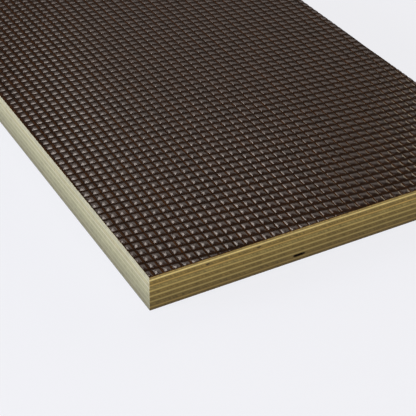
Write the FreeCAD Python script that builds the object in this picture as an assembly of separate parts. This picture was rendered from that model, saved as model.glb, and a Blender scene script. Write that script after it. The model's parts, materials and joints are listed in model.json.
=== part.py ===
import FreeCAD, Part
import math
import os

# Anti-slip film faced plywood, as a sample board cut from a full sheet with a saw.
# Thirteen veneers, glued with their grain crossed, lie between two films. The top film carries the
# imprint of the woven wire mesh that it was hot-pressed against: one raised pyramid in each mesh
# opening, with grooves where the wires lay. The film on the underside is smooth.
# The origin is the centre of the underside. X runs across the face grain, Y along it, and Z is up.
# The near corner, at the lowest X and Y, is where the mesh and the knot hole are measured from.
# Sizes are in millimetres and angles in degrees.

# Board
BOARD_WIDTH = 200.0          # along X
BOARD_LENGTH = 300.0         # along Y

# Layers, from the underside up
BACK_FILM = 0.15             # smooth film
BACK_VENEER = 0.85           # sanded before the film went on
CORE_VENEER = 1.45           # each of the inner veneers, as pressed
CORE_VENEER_COUNT = 11       # odd, so that the face and back grain run the same way
FACE_VENEER = 0.85           # sanded before the film went on
FILM_WEB = 0.20              # film left under the grooves

# Mesh imprint in the top film
IMPRINT_DEPTH = 0.50         # groove floor to pyramid tip
PITCH_ACROSS = 4.65          # from tip to tip along X
PITCH_ALONG = 5.15           # from tip to tip along Y
FIRST_TIP_ACROSS = 1.40      # first row of tips, from the near corner along X
FIRST_TIP_ALONG = 1.20       # first row of tips, from the near corner along Y
LENGTHWISE_LEAN = 1.6        # lengthwise grooves lean to the right of Y
CROSSWISE_LEAN = 3.5         # crosswise grooves fall towards the near edge as they run along X

# Hole where a knot fell out of a core veneer, opened by the saw cut on the near edge
KNOT_HOLE_DIAMETER = 7.0
KNOT_HOLE_ACROSS = 75.0      # centre, from the near corner along X
KNOT_HOLE_INSET = 1.6        # centre, behind the near edge
KNOT_HOLE_LEVEL = 2          # counted up from the lowest core veneer

NEAR_X = -BOARD_WIDTH / 2
NEAR_Y = -BOARD_LENGTH / 2
ALONG_X = FreeCAD.Vector(1, 0, 0)
ALONG_Y = FreeCAD.Vector(0, 1, 0)
UP = FreeCAD.Vector(0, 0, 1)


def near_corner(height):
    """Return the point above the board's near corner at the given height."""
    return FreeCAD.Vector(NEAR_X, NEAR_Y, height)


def flat_layer(underside, thickness):
    """Return a flat sheet of the board's own outline."""
    return Part.makeBox(BOARD_WIDTH, BOARD_LENGTH, thickness, near_corner(underside))


def knot_hole(underside, thickness):
    """Return the round plug of wood that is missing from one veneer."""
    centre = near_corner(underside) + ALONG_X * KNOT_HOLE_ACROSS + ALONG_Y * KNOT_HOLE_INSET
    return Part.makeCylinder(KNOT_HOLE_DIAMETER / 2, thickness, centre)


def ridged_block(underside, repeat, span, pitch, first_tip, run):
    """Return a block with straight ridges on top and a V groove between each two.

    The saw-toothed section stands on the edge of the board where the ridges start. It repeats along
    the unit vector repeat and is swept by the vector run to the opposite edge. The sweep shifts it
    sideways, so the section is wide enough to cover the span at both ends.
    """
    shift = run.dot(repeat)
    first = math.floor((min(0.0, -shift) - first_tip) / pitch)
    last = math.ceil((span + max(0.0, -shift) - first_tip) / pitch)

    def section_point(distance, rise):
        return near_corner(underside + rise) + repeat * distance

    start = first_tip + (first - 0.5) * pitch
    end = first_tip + (last + 0.5) * pitch
    section = [section_point(start, 0.0)]
    for index in range(first, last + 1):
        tip = first_tip + index * pitch
        section.append(section_point(tip - pitch / 2, FILM_WEB))
        section.append(section_point(tip, FILM_WEB + IMPRINT_DEPTH))
    section.append(section_point(end, FILM_WEB))
    section.append(section_point(end, 0.0))
    section.append(section[0])
    return Part.Face(Part.makePolygon(section)).extrude(run)


def imprinted_film(underside):
    """Return the top film: what lengthwise and crosswise ridges share is a field of pyramids."""
    lengthwise_run = ALONG_Y * BOARD_LENGTH
    lengthwise_run += ALONG_X * BOARD_LENGTH * math.tan(math.radians(LENGTHWISE_LEAN))
    crosswise_run = ALONG_X * BOARD_WIDTH
    crosswise_run -= ALONG_Y * BOARD_WIDTH * math.tan(math.radians(CROSSWISE_LEAN))
    lengthwise = ridged_block(
        underside, ALONG_X, BOARD_WIDTH, PITCH_ACROSS, FIRST_TIP_ACROSS, lengthwise_run)
    crosswise = ridged_block(
        underside, ALONG_Y, BOARD_LENGTH, PITCH_ALONG, FIRST_TIP_ALONG, crosswise_run)
    return lengthwise.common(crosswise).Solids[0]


def build_board():
    """Return each layer of the board by its name, stacked from the underside up."""
    layers = {}
    level = 0.0
    layers["back_film"] = flat_layer(level, BACK_FILM)
    level += BACK_FILM
    layers["back_veneer"] = flat_layer(level, BACK_VENEER)
    level += BACK_VENEER
    for count_up in range(1, CORE_VENEER_COUNT + 1):
        veneer = flat_layer(level, CORE_VENEER)
        if count_up == KNOT_HOLE_LEVEL:
            veneer = veneer.cut(knot_hole(level, CORE_VENEER)).Solids[0]
        number = CORE_VENEER_COUNT + 2 - count_up
        layers[f"core_veneer_{number:02d}"] = veneer
        level += CORE_VENEER
    layers["face_veneer"] = flat_layer(level, FACE_VENEER)
    level += FACE_VENEER
    layers["anti_slip_film"] = imprinted_film(level)
    return layers


os.makedirs("parts", exist_ok=True)
for node, shape in build_board().items():
    shape.exportStep(f"parts/{node}.step")
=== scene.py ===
"""Looks of the anti-slip film faced plywood board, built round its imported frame.

The board lies on a pale floor. X runs across the face grain, Y along it and Z is up, in metres.
"""

from __future__ import annotations

import json
import logging
import math
from dataclasses import dataclass
from enum import Enum
from typing import Any

import bpy
from bpy.types import Material, Node, NodeOutputs, NodeSocket, NodeTree, Object
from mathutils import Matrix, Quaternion, Vector

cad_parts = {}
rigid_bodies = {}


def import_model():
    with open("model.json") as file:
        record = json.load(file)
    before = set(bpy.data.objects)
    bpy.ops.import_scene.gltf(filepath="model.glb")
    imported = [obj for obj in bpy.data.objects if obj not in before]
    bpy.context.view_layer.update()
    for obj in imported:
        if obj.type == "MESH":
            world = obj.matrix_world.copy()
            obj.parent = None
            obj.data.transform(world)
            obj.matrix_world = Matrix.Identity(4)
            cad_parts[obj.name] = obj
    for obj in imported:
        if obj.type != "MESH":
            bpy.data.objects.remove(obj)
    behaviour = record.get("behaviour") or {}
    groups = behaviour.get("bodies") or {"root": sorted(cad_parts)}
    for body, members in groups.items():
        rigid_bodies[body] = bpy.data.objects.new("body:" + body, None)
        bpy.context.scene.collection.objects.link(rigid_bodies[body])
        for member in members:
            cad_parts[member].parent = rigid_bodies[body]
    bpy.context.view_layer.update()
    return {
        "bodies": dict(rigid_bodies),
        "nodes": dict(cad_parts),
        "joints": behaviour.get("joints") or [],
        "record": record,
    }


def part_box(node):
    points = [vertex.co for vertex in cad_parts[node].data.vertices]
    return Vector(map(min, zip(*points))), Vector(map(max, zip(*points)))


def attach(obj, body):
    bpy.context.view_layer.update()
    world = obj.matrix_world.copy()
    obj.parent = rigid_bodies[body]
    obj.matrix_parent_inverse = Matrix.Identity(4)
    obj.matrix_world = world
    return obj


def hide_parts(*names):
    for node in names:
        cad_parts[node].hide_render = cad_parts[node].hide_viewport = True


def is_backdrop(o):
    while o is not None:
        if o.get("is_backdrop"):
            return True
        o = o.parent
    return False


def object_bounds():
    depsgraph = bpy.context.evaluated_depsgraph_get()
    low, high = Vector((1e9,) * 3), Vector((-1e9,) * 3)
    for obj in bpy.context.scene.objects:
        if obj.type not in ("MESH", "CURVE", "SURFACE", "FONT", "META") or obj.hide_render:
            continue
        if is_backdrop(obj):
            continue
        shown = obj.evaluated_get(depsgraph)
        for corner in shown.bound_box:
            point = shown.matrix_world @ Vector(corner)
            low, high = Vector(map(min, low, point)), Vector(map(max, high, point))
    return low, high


LOG = logging.getLogger("plywood")
MM = 0.001
BODY = "root"

# Most values of a noise texture lie in the first span, and nearly all in the second.
NOISE_SPAN = (0.3, 0.7)
WIDE_SPAN = (0.25, 0.75)
BUMP_STRENGTH = 0.3

# A Mix node's colour sockets go by number, because its other kinds share their names.
FIRST_COLOUR = 6
SECOND_COLOUR = 7
MIXED_COLOUR = 2

Pair = tuple[float, float]
Triple = tuple[float, float, float]


def linear(code: str) -> tuple[float, float, float, float]:
    """Turn an sRGB hex colour into linear values.

    Args:
        code: the colour as "#rrggbb".

    Returns:
        Linear red, green, blue and an alpha of one.
    """
    shares = [int(code[place:place + 2], 16) / 255 for place in (1, 3, 5)]
    red, green, blue = (s / 12.92 if s <= 0.04045 else ((s + 0.055) / 1.055) ** 2.4 for s in shares)
    return red, green, blue, 1.0


def add_node(
        tree: NodeTree, kind: str, inputs: dict[str | int, Any] | tuple = (), **settings: Any) -> Node:
    """Add a node with its settings and links.

    Args:
        tree: the tree that gets the node.
        kind: the node's type.
        inputs: what goes into the sockets, in their order, or by their names or numbers. Each is a value, a
            socket, a node whose first output is meant, or a list of nodes for a socket that takes several.
        settings: the node's own properties.

    Returns:
        The new node.
    """
    node = tree.nodes.new(kind)
    for name, value in settings.items():
        setattr(node, name, value)
    by_key = inputs if isinstance(inputs, dict) else dict(enumerate(inputs))
    for key, value in by_key.items():
        socket = node.inputs[key]
        for source in value if isinstance(value, list) else [value]:
            if isinstance(source, Node):
                source = source.outputs[0]
            if isinstance(source, NodeSocket):
                tree.links.new(source, socket)
            else:
                socket.default_value = source
    return node


def new_material(name: str) -> Material:
    """Make a material with an empty node tree.

    Args:
        name: the material's name.

    Returns:
        The material.
    """
    material = bpy.data.materials.new(name)
    material.use_nodes = True
    material.node_tree.nodes.clear()
    return material


def new_geometry_tree(name: str, sockets: dict[str, tuple[str, ...]]) -> tuple[NodeTree, NodeOutputs]:
    """Make an empty Geometry Nodes tree with named inputs and a geometry output.

    Args:
        name: the tree's name.
        sockets: the names of the inputs of each kind, such as Float or Material.

    Returns:
        The tree, and its inputs as sockets by name.
    """
    tree = bpy.data.node_groups.new(name, "GeometryNodeTree")
    for kind, names in sockets.items():
        for socket in names:
            tree.interface.new_socket(socket, in_out="INPUT", socket_type=f"NodeSocket{kind}")
    tree.interface.new_socket("Geometry", in_out="OUTPUT", socket_type="NodeSocketGeometry")
    return tree, add_node(tree, "NodeGroupInput").outputs


def finish_tree(tree: NodeTree, geometry: Node, material: NodeSocket, where: Node | bool = True) -> None:
    """End a tree: real geometry, with its material, at the output.

    Args:
        tree: the tree.
        geometry: the node that holds the finished shape.
        material: the input socket that gives the material.
        where: the node that picks the faces that get the material, or all of them.
    """
    realised = add_node(tree, "GeometryNodeRealizeInstances", {"Geometry": geometry})
    dressed = add_node(
        tree, "GeometryNodeSetMaterial", {"Geometry": realised, "Selection": where, "Material": material})
    add_node(tree, "NodeGroupOutput", {"Geometry": dressed})


def grow(name: str, tree: NodeTree, inputs: dict[str, Any]) -> Object:
    """Run a Geometry Nodes tree and keep the result as a plain mesh.

    Args:
        name: the new piece's name.
        tree: the tree to run.
        inputs: a value for each of the tree's named inputs.

    Returns:
        The new object, at the origin, with no modifier.
    """
    piece = bpy.data.objects.new(name, bpy.data.meshes.new(name + "_seed"))
    bpy.context.scene.collection.objects.link(piece)
    modifier = piece.modifiers.new("grow", "NODES")
    modifier.node_group = tree
    for item in tree.interface.items_tree:
        if item.in_out == "INPUT":
            modifier[item.identifier] = inputs[item.name]
    depsgraph = bpy.context.evaluated_depsgraph_get()
    mesh = bpy.data.meshes.new_from_object(
        piece.evaluated_get(depsgraph), preserve_all_data_layers=True, depsgraph=depsgraph)
    piece.modifiers.clear()
    piece.data = mesh
    mesh.name = name
    return piece


def keep(piece: Object, slot: str, node: str) -> None:
    """Put a piece on the board in place of a node of the frame, and report it.

    Args:
        piece: the finished piece.
        slot: the record's material slot; not used.
        node: the node that the piece stands for.
    """
    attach(piece, BODY)
    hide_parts(node)
    piece.data.calc_loop_triangles()
    LOG.info("%s: %d triangles", piece.name, len(piece.data.loop_triangles))


class Grain(Enum):
    """The way a veneer's fibres run."""

    LENGTHWISE = (0.0, 1.0, 0.0)
    CROSSWISE = (1.0, 0.0, 0.0)


class BirchTone(Enum):
    """Birch from different logs: the colour of a cut along the grain, then of one across it."""

    PALE = ("#c7c197", "#98854d")
    FAWN = ("#c6c09a", "#a89b64")
    BLOND = ("#c6c09a", "#bca76c")
    CREAM = ("#f6e6a5", "#c4be9c")
    HONEY = ("#c7af6c", "#bab085")
    STRAW = ("#cfbe7d", "#b9b388")


@dataclass(frozen=True)
class SmoothFilm:
    """Phenolic resin film, hot-pressed on a polished plate: dark brown, satin, and faintly cloudy.

    The grain of the veneer under it shows through as soft streaks along the board. A shade is the
    brightness, about one, at either end of a pattern's span.
    """

    name: str = "smooth_phenolic_film"
    colour: str = "#281407"
    roughness: float = 0.19
    roughness_swing: float = 0.05
    ior: float = 1.55
    cloud: float = 9 * MM
    cloud_shade: Pair = (0.75, 1.3)
    streak_width: float = 1.5 * MM
    streak_length: float = 60 * MM
    streak_shade: Pair = (0.7, 1.35)
    ripple: float = 0.9 * MM
    ripple_height: float = 0.03 * MM

    def tint(self, tree: NodeTree, place: NodeSocket) -> NodeSocket:
        """Make the colour: the resin is a little uneven.

        Args:
            tree: the material's tree.
            place: object coordinates.

        Returns:
            The colour's socket.
        """
        cloud = add_node(
            tree, "ShaderNodeTexNoise", {"Vector": place, "Scale": 1 / self.cloud, "Detail": 3.0})
        cloud = add_node(tree, "ShaderNodeMapRange", (cloud, *NOISE_SPAN, *self.cloud_shade))
        stretch = (1 / self.streak_width, 1 / self.streak_length, 1.0)
        drawn = add_node(tree, "ShaderNodeVectorMath", (place, stretch), operation="MULTIPLY")
        streak = add_node(tree, "ShaderNodeTexNoise", {"Vector": drawn, "Scale": 1.0, "Detail": 3.0})
        streak = add_node(tree, "ShaderNodeMapRange", (streak, *NOISE_SPAN, *self.streak_shade))
        shade = add_node(tree, "ShaderNodeMath", (cloud, streak), operation="MULTIPLY")
        even = linear(self.colour)[:3]
        tinted = add_node(tree, "ShaderNodeVectorMath", {0: even, "Scale": shade}, operation="SCALE")
        return tinted.outputs[0]

    def material(self) -> Material:
        """Make the film's material.

        Returns:
            The material.
        """
        material = new_material(self.name)
        tree = material.node_tree
        place = add_node(tree, "ShaderNodeTexCoord").outputs["Object"]
        ripple = add_node(
            tree, "ShaderNodeTexNoise", {"Vector": place, "Scale": 1 / self.ripple, "Detail": 2.0})
        satin = (self.roughness - self.roughness_swing, self.roughness + self.roughness_swing)
        rough = add_node(tree, "ShaderNodeMapRange", (ripple, *NOISE_SPAN, *satin))
        bump = add_node(
            tree, "ShaderNodeBump",
            {"Strength": BUMP_STRENGTH, "Distance": self.ripple_height, "Height": ripple})
        skin = add_node(
            tree, "ShaderNodeBsdfPrincipled",
            {"Base Color": self.tint(tree, place), "Roughness": rough, "IOR": self.ior, "Normal": bump})
        add_node(tree, "ShaderNodeOutputMaterial", {"Surface": skin})
        return material


@dataclass(frozen=True)
class GrooveResin(SmoothFilm):
    """Phenolic resin left dull by the wires and the saw: matte, redder, and with painted shade in the cross
    grooves.

    Its low IOR stands for a surface that is too rough to shine.
    """

    name: str = "grooved_phenolic_film"
    colour: str = "#3f2307"
    # Painted shade: the near-black that darkens the grooves running across the board.
    painted_shade_colour: str = "#100803"
    roughness: float = 0.7
    ior: float = 1.2

    def tint(self, tree: NodeTree, place: NodeSocket) -> NodeSocket:
        """Make the colour: brown resin, darkened with painted shade in the grooves that run across the board.

        Args:
            tree: the material's tree.
            place: object coordinates.

        Returns:
            The colour's socket.
        """
        resin = super().tint(tree, place)
        cross_groove_shade = add_node(tree, "ShaderNodeAttribute", attribute_name="crosswise").outputs["Fac"]
        mixed = add_node(
            tree, "ShaderNodeMix",
            {0: cross_groove_shade, FIRST_COLOUR: resin, SECOND_COLOUR: linear(self.painted_shade_colour)}, data_type="RGBA")
        return mixed.outputs[MIXED_COLOUR]


@dataclass(frozen=True)
class Knot:
    """A dark knot in a veneer: its middle, and how far it reaches each way."""

    middle: Vector
    reach: Triple


@dataclass(frozen=True)
class SawCut:
    """What a material reads at a point of a veneer's sawn edge.

    Object coordinates and the parts of the normal, how far the cut runs across the grain, how much of its
    glue lines and checks is left after the painted light that washes out the long edges, and how far the
    point is from the nearer glue line, as a share of the veneer's thickness.
    """

    place: NodeSocket
    normal: Node
    end: Node
    rough: Node
    inward: Node


@dataclass(frozen=True)
class BirchVeneer:
    """Birch veneer on a raw saw cut: pale streaks along the grain, and duller specks across it.

    Peeling on the lathe opens slanting checks that show on the end grain, glue soaks into both faces, and
    the saw leaves faint upright scratches. A cut along the grain is palest in the middle of the veneer, its
    crest. On the two long edges the crest, the glue lines and the checks are weaker: painted light that
    washes them out. The wood darkens towards the underside: painted shade. Fibres are drawn a few times too
    coarse, because real ones are too fine to show. A shade is the brightness, about one, at either end of a
    pattern's span. A knot's core is a share of its reach. The glue's depth and the crest's span are shares
    of the veneer's thickness.
    """

    grain: Grain
    tone: BirchTone
    knots: tuple[Knot, ...] = ()
    knot_colour: str = "#2b1c0c"
    knot_core: float = 0.4
    knot_strength: float = 0.9
    resin_colour: str = "#21140a"
    glue_colour: str = "#6a4e27"
    glue_depth: float = 0.22
    glue_strength: float = 0.42
    # Painted light: how much the glue lines and checks fade on the two long edges.
    painted_washout: float = 0.45
    fibre: float = 0.25 * MM
    fibre_shade: Pair = (0.82, 1.18)
    streak: float = 12 * MM
    fibres_in_band: float = 10.0
    band_shade: Pair = (0.9, 1.1)
    check_length: float = 2.0 * MM
    check_width: float = 0.45 * MM
    check_slant: float = 50.0
    check_bend: float = 0.3
    check_span: Pair = (0.32, 0.62)
    check_shade: Pair = (0.6, 1.16)
    saw_pitch: float = 0.7 * MM
    saw_height: float = 25 * MM
    saw_shade: Pair = (0.95, 1.05)
    crest_span: Pair = (0.18, 0.44)
    cross_crest: Pair = (0.62, 1.2)
    # Painted light: the crest of the veneers seen on the long edges is weaker, washed out.
    long_crest: Pair = (0.93, 1.04)
    # Painted shade: the wood darkens from full brightness at this height down to the foot's share at the
    # bottom.
    painted_shade_below: float = 13 * MM
    painted_shade_foot: float = 0.42
    roughness: float = 0.62
    ior: float = 1.45
    relief: float = 0.05 * MM

    @property
    def name(self) -> str:
        """The material's name."""
        kind = f"birch_{self.grain.name.lower()}_{self.tone.name.lower()}"
        return f"{kind}_knots_{len(self.knots)}" if self.knots else kind

    def read_cut(self, tree: NodeTree) -> SawCut:
        """Read where a point lies, and how the saw met the grain there.

        Args:
            tree: the material's tree.

        Returns:
            The nodes and sockets that say so.
        """
        coordinates = add_node(tree, "ShaderNodeTexCoord")
        normal = coordinates.outputs["Normal"]
        facing = add_node(
            tree, "ShaderNodeVectorMath", (normal, self.grain.value), operation="DOT_PRODUCT")
        end = add_node(tree, "ShaderNodeMath", (facing.outputs["Value"],), operation="ABSOLUTE")

        # Painted light washes out the glue lines and checks on the two long edges.
        turned = add_node(tree, "ShaderNodeSeparateXYZ", (normal,))
        side = add_node(tree, "ShaderNodeMath", (turned.outputs["X"],), operation="ABSOLUTE")
        rough = add_node(tree, "ShaderNodeMath", (side, -self.painted_washout, 1.0), operation="MULTIPLY_ADD")
        through = add_node(tree, "ShaderNodeAttribute", attribute_name="through").outputs["Fac"]
        inward = add_node(tree, "ShaderNodeMath", (through, 0.5), operation="PINGPONG")
        return SawCut(coordinates.outputs["Object"], turned, end, rough, inward)

    def figure(self, tree: NodeTree, cut: SawCut) -> Node:
        """Make the figure of the wood.

        Args:
            tree: the material's tree.
            cut: what is read at the saw cut.

        Returns:
            The node that gives the brightness, about one.
        """
        along = Vector(self.grain.value)
        across = Vector((1, 1, 1)) - along
        upward = Vector((0, 0, 1))
        fibres = add_node(
            tree, "ShaderNodeVectorMath", (cut.place, along / self.streak + across / self.fibre),
            operation="MULTIPLY")
        fleck = add_node(tree, "ShaderNodeTexNoise", {"Vector": fibres, "Scale": 1.0, "Detail": 3.0})
        fleck = add_node(tree, "ShaderNodeMapRange", (fleck, *WIDE_SPAN, *self.fibre_shade))
        band = add_node(
            tree, "ShaderNodeTexNoise", {"Vector": fibres, "Scale": 1 / self.fibres_in_band, "Detail": 2.0})
        band = add_node(tree, "ShaderNodeMapRange", (band, *NOISE_SPAN, *self.band_shade))

        # Checks slant through the veneer and open only on the end grain, weaker on the long edges, where
        # painted light washes them out.
        leaning = add_node(
            tree, "ShaderNodeVectorRotate",
            {"Vector": cut.place, "Axis": along, "Angle": math.radians(self.check_slant)})
        slit = along / self.streak + upward / self.check_length + (across - upward) / self.check_width
        leaning = add_node(tree, "ShaderNodeVectorMath", (leaning, slit), operation="MULTIPLY")
        check = add_node(
            tree, "ShaderNodeTexNoise",
            {"Vector": leaning, "Scale": 1.0, "Detail": 2.0, "Distortion": self.check_bend})
        check = add_node(tree, "ShaderNodeMapRange", (check, *self.check_span, *self.check_shade))
        torn = add_node(tree, "ShaderNodeMath", (cut.end, cut.rough), operation="MULTIPLY")
        check = add_node(tree, "ShaderNodeMix", {0: torn, 2: 1.0, 3: check})

        pitch = (1 / self.saw_pitch, 1 / self.saw_pitch, 1 / self.saw_height)
        teeth = add_node(tree, "ShaderNodeVectorMath", (cut.place, pitch), operation="MULTIPLY")
        scratch = add_node(tree, "ShaderNodeTexNoise", {"Vector": teeth, "Scale": 1.0, "Detail": 2.0})
        scratch = add_node(tree, "ShaderNodeMapRange", (scratch, *NOISE_SPAN, *self.saw_shade))
        figure = fleck
        for part in (check, band, scratch):
            figure = add_node(tree, "ShaderNodeMath", (figure, part), operation="MULTIPLY")
        return figure

    def shade(self, tree: NodeTree, cut: SawCut, figure: Node) -> Node:
        """Add the pale crest to the figure, and paint shade that darkens the lower veneers.

        Args:
            tree: the material's tree.
            cut: what is read at the saw cut.
            figure: the figure's brightness.

        Returns:
            The node that gives the wood's whole brightness.
        """
        pale = self.cross_crest if self.grain is Grain.CROSSWISE else self.long_crest
        crest = add_node(tree, "ShaderNodeMapRange", (cut.inward, *self.crest_span, *pale))
        crest = add_node(tree, "ShaderNodeMix", {0: cut.end, 2: crest, 3: 1.0})
        # Painted shade: the wood is darker towards the underside.
        height = add_node(tree, "ShaderNodeSeparateXYZ", (cut.place,)).outputs["Z"]
        shade = add_node(tree, "ShaderNodeMapRange", (height, 0.0, self.painted_shade_below, self.painted_shade_foot, 1.0))
        for part in (figure, crest):
            shade = add_node(tree, "ShaderNodeMath", (shade, part), operation="MULTIPLY")
        return shade

    def stain(self, tree: NodeTree, cut: SawCut, wood: Node) -> NodeSocket:
        """Darken the wood where glue has soaked in, at its knots, and on its glued faces.

        Args:
            tree: the material's tree.
            cut: what is read at the saw cut.
            wood: the clean wood's colour.

        Returns:
            The stained colour's socket.
        """
        glue = add_node(
            tree, "ShaderNodeMapRange", (cut.inward, 0.0, self.glue_depth, self.glue_strength, 0.0))
        glue = add_node(tree, "ShaderNodeMath", (glue, cut.rough), operation="MULTIPLY")
        layers = [(glue, self.glue_colour)]
        for knot in self.knots:
            away = add_node(tree, "ShaderNodeVectorMath", (cut.place, knot.middle), operation="SUBTRACT")
            away = add_node(tree, "ShaderNodeVectorMath", (away, knot.reach), operation="DIVIDE")
            reach = add_node(tree, "ShaderNodeVectorMath", (away,), operation="LENGTH").outputs["Value"]
            mark = add_node(
                tree, "ShaderNodeMapRange", (reach, self.knot_core, 1.0, self.knot_strength, 0.0))
            layers.append((mark, self.knot_colour))

        # The veneer's own faces, which show only inside a knot hole, are coated with dark glue.
        level = add_node(tree, "ShaderNodeMath", (cut.normal.outputs["Z"],), operation="ABSOLUTE")
        layers.append((level, self.resin_colour))
        colour = wood.outputs[0]
        for share, stain in layers:
            mixed = add_node(
                tree, "ShaderNodeMix",
                {0: share, FIRST_COLOUR: colour, SECOND_COLOUR: linear(stain)}, data_type="RGBA")
            colour = mixed.outputs[MIXED_COLOUR]
        return colour

    def material(self) -> Material:
        """Make the veneer's material, or find the one made before.

        Returns:
            The material.
        """
        if self.name in bpy.data.materials:
            return bpy.data.materials[self.name]
        material = new_material(self.name)
        tree = material.node_tree
        cut = self.read_cut(tree)
        figure = self.figure(tree, cut)
        long_cut, end_cut = (linear(code) for code in self.tone.value)
        birch = add_node(
            tree, "ShaderNodeMix", {0: cut.end, FIRST_COLOUR: long_cut, SECOND_COLOUR: end_cut},
            data_type="RGBA")
        wood = add_node(
            tree, "ShaderNodeVectorMath",
            {0: birch.outputs[MIXED_COLOUR], "Scale": self.shade(tree, cut, figure)}, operation="SCALE")
        bump = add_node(
            tree, "ShaderNodeBump", {"Strength": BUMP_STRENGTH, "Distance": self.relief, "Height": figure})
        skin = add_node(
            tree, "ShaderNodeBsdfPrincipled",
            {"Base Color": self.stain(tree, cut, wood), "Roughness": self.roughness, "IOR": self.ior,
             "Normal": bump})
        add_node(tree, "ShaderNodeOutputMaterial", {"Surface": skin})
        return material


@dataclass
class AntiSlipFilm:
    """The top film with the imprint of a woven wire mesh.

    The mesh lay slightly uneven in the press, so its rows sag and its columns fan out. Steps are from one
    bump to the next, and bends are what each step gains from one bump to the next. Rounding, fullness, sag
    and shoulder shape each bump. The rim and the groove's edges are distances from a bump's middle, in mesh
    units, with the wires one unit apart.
    """

    node: str = "anti_slip_film"
    slot: str = "phenolic_film"
    web: float = 0.20 * MM
    first_bump: Pair = (0.01 * MM, 2.17 * MM)
    column_step: Pair = (4.412 * MM, -0.438 * MM)
    row_step: Pair = (0.174 * MM, 5.145 * MM)
    column_bend: Pair = (0.0053 * MM, 0.0011 * MM)
    fan: Pair = (0.0045 * MM, 0.0054 * MM)
    row_bend: Pair = (-0.0027 * MM, -0.0045 * MM)
    columns: int = 50
    rows: int = 68
    spare: int = 3
    divisions: int = 6
    hip_rounding: float = 0.08
    fullness: float = 0.7
    sag: float = 1.2
    shoulder: float = 0.36
    bump_rim: float = 0.335
    groove_edge: Pair = (0.3, 0.4)
    sharp_angle: float = 50.0

    def plate(self, tree: NodeTree, ask: NodeOutputs, axes: list[NodeSocket]) -> Node:
        """Lay a flat plate in mesh units: one unit for each wire, with a bump on each whole number.

        Args:
            tree: the film's tree.
            ask: the tree's inputs.
            axes: each point's column and row.

        Returns:
            The plate, split along the lines from each bump's tip to the mesh crossings.
        """
        start = add_node(tree, "ShaderNodeMath", (ask["Spare"], 0.5), operation="ADD")
        counts, shifts, sides = [], [], []
        for name, axis in zip(("Columns", "Rows"), axes):
            counts.append(add_node(
                tree, "ShaderNodeMath", (ask[name], ask["Divisions"], 1.0), operation="MULTIPLY_ADD"))
            half = add_node(tree, "ShaderNodeMath", (ask[name], 0.5), operation="MULTIPLY")
            shifts.append(add_node(tree, "ShaderNodeMath", (half, start), operation="SUBTRACT"))
            past = add_node(tree, "ShaderNodeMath", (axis,), operation="FRACT")
            sides.append(add_node(
                tree, "FunctionNodeCompare", (past, 0.5), operation="LESS_THAN", data_type="FLOAT"))
        size = add_node(tree, "ShaderNodeCombineXYZ", (ask["Columns"], ask["Rows"], 1.0))
        plate = add_node(
            tree, "GeometryNodeMeshCube",
            {"Size": size, "Vertices X": counts[0], "Vertices Y": counts[1], "Vertices Z": 2})
        shift = add_node(tree, "ShaderNodeCombineXYZ", tuple(shifts))
        moved = add_node(tree, "GeometryNodeTransform", {"Geometry": plate, "Translation": shift})
        rising = add_node(tree, "FunctionNodeBooleanMath", tuple(sides), operation="XNOR")
        split = add_node(
            tree, "GeometryNodeTriangulate", {"Mesh": moved, "Selection": rising},
            quad_method="FIXED_ALTERNATE")
        return add_node(tree, "GeometryNodeTriangulate", {"Mesh": split}, quad_method="FIXED")

    def mark(self, tree: NodeTree, plate: Node, gaps: list[Node]) -> Node:
        """Mark the faces on bumps, and the grooves that run across the board, for the materials.

        Args:
            tree: the film's tree.
            plate: the flat plate.
            gaps: each point's distance from the nearest bump's middle, by column and by row.

        Returns:
            The marked plate.
        """
        rim = add_node(tree, "ShaderNodeMath", tuple(gaps), operation="MAXIMUM")
        bumped = add_node(tree, "FunctionNodeCompare", (self.bump_rim, rim), data_type="FLOAT")
        marked = add_node(
            tree, "GeometryNodeStoreNamedAttribute", {"Geometry": plate, "Name": "bumped", "Value": bumped},
            data_type="BOOLEAN", domain="FACE")
        # The grooves that run across the board are marked for their painted shade.
        crosswise = add_node(
            tree, "ShaderNodeMapRange", (gaps[1], *self.groove_edge), interpolation_type="SMOOTHSTEP")
        return add_node(
            tree, "GeometryNodeStoreNamedAttribute",
            {"Geometry": marked, "Name": "crosswise", "Value": crosswise},
            data_type="FLOAT", domain="CORNER")

    def height(self, tree: NodeTree, ask: NodeOutputs, gaps: list[Node], level: NodeSocket) -> Node:
        """Work out the height: a hipped bump in each mesh opening, with a rounded groove under each wire.

        Args:
            tree: the film's tree.
            ask: the tree's inputs.
            gaps: each point's distance from the nearest bump's middle, by column and by row.
            level: the point's level on the flat plate, positive on its upper face.

        Returns:
            The node that gives the height.
        """
        # A climb is one at a bump's middle and nothing under a wire.
        climbs = tuple(
            add_node(tree, "ShaderNodeMath", (gap, -2.0, 1.0), operation="MULTIPLY_ADD") for gap in gaps)
        hip = add_node(tree, "ShaderNodeMath", (*climbs, ask["Rounding"]), operation="SMOOTH_MIN")
        dome = add_node(tree, "ShaderNodeMath", (hip, ask["Fullness"]), operation="POWER")
        hollow = add_node(tree, "ShaderNodeMath", climbs, operation="SUBTRACT")
        hollow = add_node(tree, "ShaderNodeMath", (hollow,), operation="ABSOLUTE")
        for share in (hip, ask["Sag"]):
            hollow = add_node(tree, "ShaderNodeMath", (hollow, share), operation="MULTIPLY")
        pillow = add_node(tree, "ShaderNodeMath", (dome, hollow), operation="SUBTRACT")
        bump = add_node(tree, "ShaderNodeMath", (pillow, ask["Relief"]), operation="MULTIPLY")
        floor = add_node(tree, "ShaderNodeMath", (ask["Underside"], ask["Web"]), operation="ADD")
        top = add_node(tree, "ShaderNodeMath", (floor, bump), operation="ADD")

        # The underside starts too low, and the saw cut takes it to its level.
        below = add_node(tree, "ShaderNodeMath", (ask["Underside"], ask["Relief"]), operation="SUBTRACT")
        upper = add_node(tree, "ShaderNodeMath", (level, 0.0), operation="GREATER_THAN")
        return add_node(tree, "ShaderNodeMix", {0: upper, 2: below, 3: top})

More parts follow.
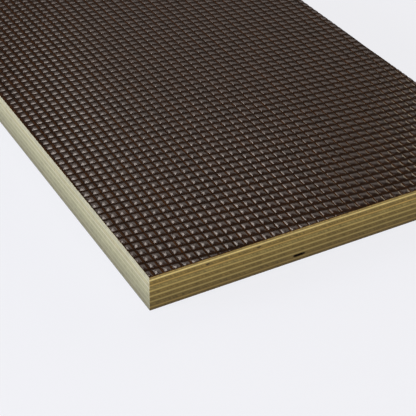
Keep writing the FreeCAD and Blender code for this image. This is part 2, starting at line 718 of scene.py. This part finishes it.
    def spot(self, tree: NodeTree, ask: NodeOutputs, axes: list[NodeSocket], height: Node) -> Node:
        """Work out the place: steps along columns and rows, each growing by its bend.

        Args:
            tree: the film's tree.
            ask: the tree's inputs.
            axes: each point's column and row.
            height: the point's height.

        Returns:
            The node that gives the place.
        """
        # Lines of the plate draw closer together at the grooves.
        drawn = []
        for axis in axes:
            off = add_node(tree, "ShaderNodeMath", (axis, 0.5, -0.5), operation="WRAP")
            square = add_node(tree, "ShaderNodeMath", (off, off), operation="MULTIPLY")
            fade = add_node(tree, "ShaderNodeMath", (square, -4.0, 1.0), operation="MULTIPLY_ADD")
            slide = add_node(tree, "ShaderNodeMath", (off, ask["Shoulder"]), operation="MULTIPLY")
            drawn.append(add_node(tree, "ShaderNodeMath", (slide, fade, axis), operation="MULTIPLY_ADD"))
        column, row = drawn
        bends = [
            add_node(tree, "ShaderNodeVectorMath", {0: ask[name], "Scale": axis}, operation="SCALE")
            for name, axis in (("Column Bend", column), ("Fan", row), ("Row Bend", row))]
        column_step = add_node(tree, "ShaderNodeVectorMath", (ask["Column Step"], bends[0]))
        column_step = add_node(tree, "ShaderNodeVectorMath", (column_step, bends[1]))
        row_step = add_node(tree, "ShaderNodeVectorMath", (ask["Row Step"], bends[2]))
        over = add_node(tree, "ShaderNodeVectorMath", {0: column_step, "Scale": column}, operation="SCALE")
        along = add_node(tree, "ShaderNodeVectorMath", {0: row_step, "Scale": row}, operation="SCALE")
        spot = add_node(tree, "ShaderNodeVectorMath", (over, along))
        raised = add_node(tree, "ShaderNodeCombineXYZ", {"Z": height})
        for part in (ask["First Bump"], raised):
            spot = add_node(tree, "ShaderNodeVectorMath", (spot, part))
        return spot

    def saw(self, tree: NodeTree, ask: NodeOutputs, pressed: Node) -> Node:
        """Saw the film: what lies inside the board's outline stays.

        Args:
            tree: the film's tree.
            ask: the tree's inputs.
            pressed: the pressed plate.

        Returns:
            The sawn film, smooth but for its sharp edges.
        """
        # The block is far taller than the film, so only its sides and its underside cut.
        tall = add_node(
            tree, "ShaderNodeMath", (ask["Relief"], 4.0, ask["Web"]), operation="MULTIPLY_ADD")
        outline = add_node(tree, "ShaderNodeCombineXYZ", (ask["Width"], ask["Length"], tall))
        block = add_node(tree, "GeometryNodeMeshCube", {"Size": outline})
        middle = add_node(
            tree, "ShaderNodeMath", (tall, 0.5, ask["Underside"]), operation="MULTIPLY_ADD")
        centre = add_node(tree, "ShaderNodeCombineXYZ", {"Z": middle})
        block = add_node(tree, "GeometryNodeTransform", {"Geometry": block, "Translation": centre})
        sawn = add_node(
            tree, "GeometryNodeMeshBoolean", {"Mesh 2": [pressed, block]}, operation="INTERSECT",
            solver="MANIFOLD")
        whole = add_node(tree, "GeometryNodeTriangulate", {"Mesh": sawn})
        smooth = add_node(tree, "GeometryNodeSetShadeSmooth", {"Geometry": whole})
        angle = add_node(tree, "GeometryNodeInputMeshEdgeAngle")
        sharp = add_node(
            tree, "FunctionNodeCompare", (angle, math.radians(self.sharp_angle)), data_type="FLOAT")
        return add_node(
            tree, "GeometryNodeSetShadeSmooth",
            {"Geometry": smooth, "Selection": sharp, "Shade Smooth": False}, domain="EDGE")

    def tree(self) -> NodeTree:
        """Build the tree that presses the mesh into a plate and trims it to the board.

        Returns:
            The Geometry Nodes tree.
        """
        tree, ask = new_geometry_tree("mesh_imprint", {
            "Float": (
                "Width", "Length", "Underside", "Web", "Relief", "Rounding", "Fullness", "Sag", "Shoulder"),
            "Int": ("Columns", "Rows", "Spare", "Divisions"),
            "Vector": ("First Bump", "Column Step", "Row Step", "Column Bend", "Fan", "Row Bend"),
            "Material": ("Groove Material", "Material")})
        place = add_node(tree, "GeometryNodeInputPosition")
        *axes, level = add_node(tree, "ShaderNodeSeparateXYZ", (place,)).outputs
        gaps = [add_node(tree, "ShaderNodeMath", (axis, 0.5), operation="PINGPONG") for axis in axes]
        marked = self.mark(tree, self.plate(tree, ask, axes), gaps)
        spot = self.spot(tree, ask, axes, self.height(tree, ask, gaps, level))
        pressed = add_node(tree, "GeometryNodeSetPosition", {"Geometry": marked, "Position": spot})
        dull = add_node(
            tree, "GeometryNodeSetMaterial",
            {"Geometry": self.saw(tree, ask, pressed), "Material": ask["Groove Material"]})
        bumps = add_node(tree, "GeometryNodeInputNamedAttribute", {"Name": "bumped"}, data_type="BOOLEAN")
        finish_tree(tree, dull, ask["Material"], bumps)
        return tree

    def build(self) -> None:
        """Press, trim and dress the film."""
        low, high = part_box(self.node)
        steps = {
            "First Bump": Vector((low.x, low.y)) + Vector(self.first_bump),
            "Column Step": self.column_step, "Row Step": self.row_step,
            "Column Bend": self.column_bend, "Fan": self.fan, "Row Bend": self.row_bend}
        piece = grow("imprinted_film", self.tree(), {
            "Width": high.x - low.x, "Length": high.y - low.y, "Underside": low.z, "Web": self.web,
            "Relief": high.z - low.z - self.web, "Rounding": self.hip_rounding, "Fullness": self.fullness,
            "Sag": self.sag, "Shoulder": self.shoulder, "Columns": self.columns, "Rows": self.rows,
            "Spare": self.spare, "Divisions": self.divisions,
            "Groove Material": GrooveResin().material(),
            "Material": SmoothFilm(name="satin_phenolic_film").material(),
            **{name: (*step, 0.0) for name, step in steps.items()}})
        keep(piece, self.slot, self.node)


@dataclass
class VeneerStack:
    """The thirteen crossed veneers, with glue lines that wander a little as they do in a pressed board.

    One veneer has a knot hole, open to the near edge, and another has dark pin knots. Tones are listed from
    the lowest veneer upwards. The hole's tears are counted across its width.
    """

    wave: float = 0.12 * MM
    wave_length: float = 28 * MM
    columns: int = 41
    rows: int = 61
    cross_tones: tuple[BirchTone, ...] = (
        BirchTone.HONEY, BirchTone.STRAW, BirchTone.STRAW, BirchTone.STRAW, BirchTone.HONEY, BirchTone.CREAM)
    long_tones: tuple[BirchTone, ...] = (
        BirchTone.PALE, BirchTone.PALE, BirchTone.PALE, BirchTone.PALE, BirchTone.FAWN, BirchTone.PALE,
        BirchTone.BLOND)
    hole_node: str = "core_veneer_11"
    hole_diameter: float = 7.0 * MM
    hole_height: float = 1.9 * MM
    hole_across: float = 75.0 * MM
    hole_inset: float = 1.6 * MM
    hole_raggedness: float = 0.35
    hole_tears: float = 5.0
    hole_subdivisions: int = 5
    hole_stain: Triple = (4.2 * MM, 9.0 * MM, 1.1 * MM)
    pin_node: str = "core_veneer_03"
    pins_across: tuple[float, ...] = (28.0 * MM, 53.5 * MM)
    pin_level: float = 0.85 * MM
    pin_stain: Triple = (1.5 * MM, 3.0 * MM, 0.55 * MM)

    def press(self, tree: NodeTree, ask: NodeOutputs, place: Node, middle: Node) -> Node:
        """Make a sheet whose faces follow the waves of its glue lines.

        Args:
            tree: the veneer's tree.
            ask: the tree's inputs.
            place: each point's position.
            middle: the level of the veneer's middle.

        Returns:
            The sheet, with how far through it each corner lies.
        """
        size = add_node(tree, "ShaderNodeCombineXYZ", (ask["Width"], ask["Length"], ask["Thickness"]))
        sheet = add_node(
            tree, "GeometryNodeMeshCube",
            {"Size": size, "Vertices X": ask["Columns"], "Vertices Y": ask["Rows"], "Vertices Z": 2})
        level = add_node(tree, "ShaderNodeSeparateXYZ", (place,)).outputs["Z"]
        upper = add_node(tree, "ShaderNodeMath", (level, 0.0), operation="GREATER_THAN")
        marked = add_node(
            tree, "GeometryNodeStoreNamedAttribute", {"Geometry": sheet, "Name": "through", "Value": upper},
            data_type="FLOAT", domain="CORNER")

        # The two faces of a glue line follow the same wave, so that veneers meet with no gap.
        flat = add_node(tree, "ShaderNodeVectorMath", (place, (1.0, 1.0, 0.0)), operation="MULTIPLY")
        pitch = add_node(tree, "ShaderNodeMath", (1.0, ask["Wave Length"]), operation="DIVIDE")
        line = add_node(tree, "ShaderNodeMath", (ask["Layer"], upper), operation="ADD")
        noise = add_node(
            tree, "ShaderNodeTexNoise", {"Vector": flat, "W": line, "Scale": pitch, "Detail": 2.0},
            noise_dimensions="4D")
        depth = add_node(tree, "ShaderNodeMix", {0: upper, 2: ask["Lower Wave"], 3: ask["Upper Wave"]})
        swing = add_node(tree, "ShaderNodeMapRange", (noise, *WIDE_SPAN, -1.0, 1.0))
        lift = add_node(tree, "ShaderNodeMath", (swing, depth, middle), operation="MULTIPLY_ADD")
        offset = add_node(tree, "ShaderNodeCombineXYZ", {"Z": lift})
        return add_node(tree, "GeometryNodeSetPosition", {"Geometry": marked, "Offset": offset})

    def drill(self, tree: NodeTree, ask: NodeOutputs, place: Node, middle: Node, sheet: Node) -> Node:
        """Take the knot out of a veneer that has one: a flat hollow with a ragged wall.

        Args:
            tree: the veneer's tree.
            ask: the tree's inputs.
            place: each point's position.
            middle: the level of the veneer's middle.
            sheet: the pressed sheet.

        Returns:
            The sheet, with its hole if it has one.
        """
        # A ball one unit wide is torn, and then stretched to the size of the hole.
        knot = add_node(
            tree, "GeometryNodeMeshIcoSphere", {"Radius": 0.5, "Subdivisions": self.hole_subdivisions})
        torn = add_node(
            tree, "ShaderNodeTexNoise", {"Vector": place, "Scale": self.hole_tears, "Detail": 2.0})
        torn = add_node(tree, "ShaderNodeMath", (torn, 0.5), operation="SUBTRACT")
        torn = add_node(
            tree, "ShaderNodeMath", (torn, ask["Hole Raggedness"], 1.0), operation="MULTIPLY_ADD")
        torn = add_node(tree, "ShaderNodeVectorMath", {0: place, "Scale": torn}, operation="SCALE")
        knot = add_node(tree, "GeometryNodeSetPosition", {"Geometry": knot, "Position": torn})
        raised = add_node(tree, "ShaderNodeCombineXYZ", {"Z": middle})
        seat = add_node(tree, "ShaderNodeVectorMath", (ask["Hole Place"], raised))
        knot = add_node(
            tree, "GeometryNodeTransform",
            {"Geometry": knot, "Translation": seat, "Scale": ask["Hole Size"]})
        holed = add_node(
            tree, "GeometryNodeMeshBoolean", {"Mesh 1": sheet, "Mesh 2": knot}, operation="DIFFERENCE",
            solver="MANIFOLD")
        return add_node(
            tree, "GeometryNodeSwitch", {"Switch": ask["Holed"], "False": sheet, "True": holed},
            input_type="GEOMETRY")

    def tree(self) -> NodeTree:
        """Build the tree for one veneer.

        Returns:
            The Geometry Nodes tree.
        """
        tree, ask = new_geometry_tree("veneer_sheet", {
            "Float": (
                "Width", "Length", "Underside", "Thickness", "Upper Wave", "Lower Wave", "Wave Length",
                "Layer", "Hole Raggedness"),
            "Int": ("Columns", "Rows"),
            "Vector": ("Hole Size", "Hole Place"),
            "Bool": ("Holed",),
            "Material": ("Material",)})
        place = add_node(tree, "GeometryNodeInputPosition")
        middle = add_node(
            tree, "ShaderNodeMath", (ask["Thickness"], 0.5, ask["Underside"]), operation="MULTIPLY_ADD")
        sheet = self.press(tree, ask, place, middle)
        drilled = self.drill(tree, ask, place, middle, sheet)
        flat = add_node(tree, "GeometryNodeSetShadeSmooth", {"Geometry": drilled, "Shade Smooth": False})
        finish_tree(tree, flat, ask["Material"])
        return tree

    def knots(self, node: str, hole: Vector) -> tuple[Knot, ...]:
        """Find a veneer's knots.

        Args:
            node: the veneer's node.
            hole: the place of the knot hole, at floor level.

        Returns:
            The knots that darken the veneer.
        """
        low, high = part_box(node)
        if node == self.hole_node:
            return (Knot(hole + Vector((0.0, 0.0, (low.z + high.z) / 2)), self.hole_stain),)
        if node == self.pin_node:
            return tuple(
                Knot(low + Vector((across, 0.0, self.pin_level)), self.pin_stain)
                for across in self.pins_across)
        return ()

    def build(self, frame: dict[str, Any]) -> None:
        """Build and dress every veneer.

        Args:
            frame: the loaded frame.
        """
        tree = self.tree()
        nodes = sorted((n for n in frame["nodes"] if "veneer" in n), key=lambda n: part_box(n)[0].z)
        for layer, node in enumerate(nodes):
            low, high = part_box(node)
            grain = Grain.CROSSWISE if layer % 2 else Grain.LENGTHWISE
            tones = self.cross_tones if grain is Grain.CROSSWISE else self.long_tones
            hole = Vector((low.x + self.hole_across, low.y + self.hole_inset, 0.0))
            finish = BirchVeneer(grain, tones[layer // 2], self.knots(node, hole))
            piece = grow(f"pressed_{node}", tree, {
                "Width": high.x - low.x, "Length": high.y - low.y, "Underside": low.z,
                "Thickness": high.z - low.z, "Columns": self.columns, "Rows": self.rows,
                "Upper Wave": 0.0 if node == nodes[-1] else self.wave,
                "Lower Wave": 0.0 if node == nodes[0] else self.wave,
                "Wave Length": self.wave_length, "Layer": float(layer),
                "Hole Size": (self.hole_diameter, self.hole_diameter, self.hole_height),
                "Hole Raggedness": self.hole_raggedness, "Holed": node == self.hole_node,
                "Hole Place": hole, "Material": finish.material()})
            keep(piece, f"{grain.name.lower()}_veneer", node)


@dataclass
class BackFilm:
    """The smooth film on the underside."""

    node: str = "back_film"

    def dress(self, frame: dict[str, Any]) -> None:
        """Give the film its finish.

        Args:
            frame: the loaded frame.
        """
        piece = frame["nodes"][self.node]
        piece.data.materials.clear()
        piece.data.materials.append(SmoothFilm().material())
        LOG.info("%s: dressed", piece.name)


@dataclass(frozen=True)
class Softbox:
    """A lamp that faces the board from a compass bearing: 0 is behind the board, 90 is to its right.

    Angles are in degrees and sizes in metres. The level is how bright the lamp alone makes a white sheet that
    faces it from the board's place.
    """

    name: str
    bearing: float
    elevation: float
    distance: float
    width: float
    height: float
    level: float
    colour: str

    def hang(self, target: Vector) -> None:
        """Put the lamp in the scene.

        Args:
            target: the point that it faces.
        """
        lamp = bpy.data.lights.new(self.name, "AREA")
        lamp.shape = "RECTANGLE"
        lamp.size = self.width
        lamp.size_y = self.height
        lamp.energy = self.level * math.pi ** 2 * self.distance ** 2
        lamp.color = linear(self.colour)[:3]
        turn, lift = math.radians(self.bearing), math.radians(self.elevation)
        toward = Vector((math.sin(turn) * math.cos(lift), math.cos(turn) * math.cos(lift), math.sin(lift)))
        holder = bpy.data.objects.new(self.name, lamp)
        holder.location = target + toward * self.distance
        holder.rotation_euler = toward.to_track_quat("Z", "Y").to_euler()
        bpy.context.scene.collection.objects.link(holder)


@dataclass
class Studio:
    """The pale floor, the lamps, the surroundings and the camera.

    Angles are in degrees. The camera's place is counted from the near corner of the veneers' top.
    """

    pale: str = "#eff0f5"
    room: str = "#f6ebdf"
    floor_reach: float = 12.0
    floor_inset: float = 2 * MM
    floor_gap: float = 0.05 * MM
    floor_share: float = 0.82
    floor_glow: float = 1.09
    bounce: float = 0.1
    ceiling: float = 0.066
    ceiling_from: float = 0.35
    horizon: float = 0.3
    underneath: float = 0.8
    azimuth: float = -29.63
    elevation: float = 35.156
    roll: float = 1.011
    lens: float = 104.98
    clip: float = 10 * MM
    from_corner: Triple = (-175.2 * MM, -356.5 * MM, 315.4 * MM)
    lamps: tuple[Softbox, ...] = (
        Softbox("back_softbox", 19, 51, 1.0, 0.14, 0.30, 0.094, "#fff4ec"),
        Softbox("right_softbox", 30, 34, 1.0, 0.6, 0.28, 0.053, "#fff4ec"),
        Softbox("left_softbox", -90, 12, 1.2, 0.9, 0.4, 0.965, "#dae4ff"),
        Softbox("front_softbox", -140, 55, 1.2, 0.9, 0.7, 0.10, "#fff4ec"),
        Softbox("right_fill", 78, 14, 1.4, 1.4, 0.8, 0.40, "#ffefd6"),
        Softbox("back_fill", -35, 12, 1.4, 1.4, 0.7, 0.22, "#fff2e0"),
        Softbox("front_fill", 194, 22, 1.1, 0.8, 0.6, 0.367, "#ffefd2"),
    )

    def floor_material(self) -> Material:
        """Make the floor's paint: pale to the eye and in reflections, while it throws little light back up.

        Returns:
            The material.
        """
        material = new_material("pale_floor")
        tree = material.node_tree
        pale = linear(self.pale)
        ray = add_node(tree, "ShaderNodeLightPath").outputs
        seen = ray["Is Camera Ray"]
        for other in (ray["Is Glossy Ray"], ray["Is Transmission Ray"]):
            seen = add_node(tree, "ShaderNodeMath", (seen, other), operation="MAXIMUM")
        glow = add_node(tree, "ShaderNodeEmission", {"Color": pale, "Strength": self.floor_glow})
        paint = add_node(tree, "ShaderNodeBsdfDiffuse", {"Color": pale})
        shown = add_node(tree, "ShaderNodeMixShader", (self.floor_share, paint, glow))
        grey = (self.bounce, self.bounce, self.bounce, 1.0)
        dull = add_node(tree, "ShaderNodeBsdfDiffuse", {"Color": grey})
        mixed = add_node(tree, "ShaderNodeMixShader", (seen, dull, shown))
        add_node(tree, "ShaderNodeOutputMaterial", {"Surface": mixed})
        return material

    def lay_floor(self, low: Vector, high: Vector) -> None:
        """Lay the floor, open under the board, so that the underside shows from below.

        Args:
            low: the board's lowest corner.
            high: the board's highest corner.
        """
        mesh = bpy.data.meshes.new("floor")
        reach, inset, level = self.floor_reach, self.floor_inset, low.z - self.floor_gap
        left, right, near, far = low.x + inset, high.x - inset, low.y + inset, high.y - inset
        outer = [(-reach, -reach), (reach, -reach), (reach, reach), (-reach, reach)]
        inner = [(left, near), (right, near), (right, far), (left, far)]
        corners = [(*corner, level) for corner in outer + inner]
        mesh.from_pydata(corners, [], [(i, (i + 1) % 4, (i + 1) % 4 + 4, i + 4) for i in range(4)])
        mesh.materials.append(self.floor_material())
        floor = bpy.data.objects.new("floor", mesh)
        bpy.context.scene.collection.objects.link(floor)
        floor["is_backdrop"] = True

    def surround(self) -> None:
        """Set the surroundings: pale below, dimmer at the horizon and dark overhead."""
        world = bpy.data.worlds.new("studio")
        bpy.context.scene.world = world
        world.use_nodes = True
        tree = world.node_tree
        tree.nodes.clear()
        direction = add_node(tree, "ShaderNodeTexCoord").outputs["Generated"]
        up = add_node(tree, "ShaderNodeSeparateXYZ", (direction,)).outputs["Z"]
        above = add_node(
            tree, "ShaderNodeMapRange", (up, 0.0, self.ceiling_from, self.horizon, self.ceiling),
            interpolation_type="SMOOTHSTEP")
        under = add_node(tree, "ShaderNodeMapRange", (up, -1.0, 0.0, self.underneath, 0.0))
        both = add_node(tree, "ShaderNodeMath", (above, under), operation="ADD")
        room = add_node(tree, "ShaderNodeBackground", {"Color": linear(self.room), "Strength": both})
        add_node(tree, "ShaderNodeOutputWorld", {"Surface": room})

    def aim_camera(self, corner: Vector) -> None:
        """Place the camera where the photograph was taken from.

        Args:
            corner: the near corner of the veneers, just under the top film.
        """
        lens = bpy.data.cameras.new("camera")
        lens.lens = self.lens
        lens.clip_start = self.clip
        camera = bpy.data.objects.new("camera", lens)
        turn, lift = math.radians(self.azimuth), math.radians(self.elevation)
        back = Vector((math.sin(turn) * math.cos(lift), -math.cos(turn) * math.cos(lift), math.sin(lift)))
        camera.location = corner + Vector(self.from_corner)
        camera.rotation_mode = "QUATERNION"
        upright = (-back).to_track_quat("-Z", "Y")
        camera.rotation_quaternion = upright @ Quaternion((0, 0, 1), math.radians(self.roll))
        bpy.context.scene.collection.objects.link(camera)
        bpy.context.scene.camera = camera

    def build(self) -> None:
        """Set up everything round the board."""
        bpy.context.scene.view_settings.view_transform = "Standard"
        low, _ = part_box("anti_slip_film")
        self.lay_floor(*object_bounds())
        self.surround()
        for lamp in self.lamps:
            lamp.hang(Vector((0.0, 0.0, low.z)))
        self.aim_camera(low)
        LOG.info("studio: %d lamps", len(self.lamps))


def main() -> None:
    """Load the frame, build each sub-assembly and note the sizes."""
    logging.basicConfig(level=logging.INFO, format="%(name)s: %(message)s")
    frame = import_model()
    AntiSlipFilm().build()
    VeneerStack().build(frame)
    BackFilm().dress(frame)
    Studio().build()
    bpy.context.view_layer.update()


if __name__ == "__main__":
    main()
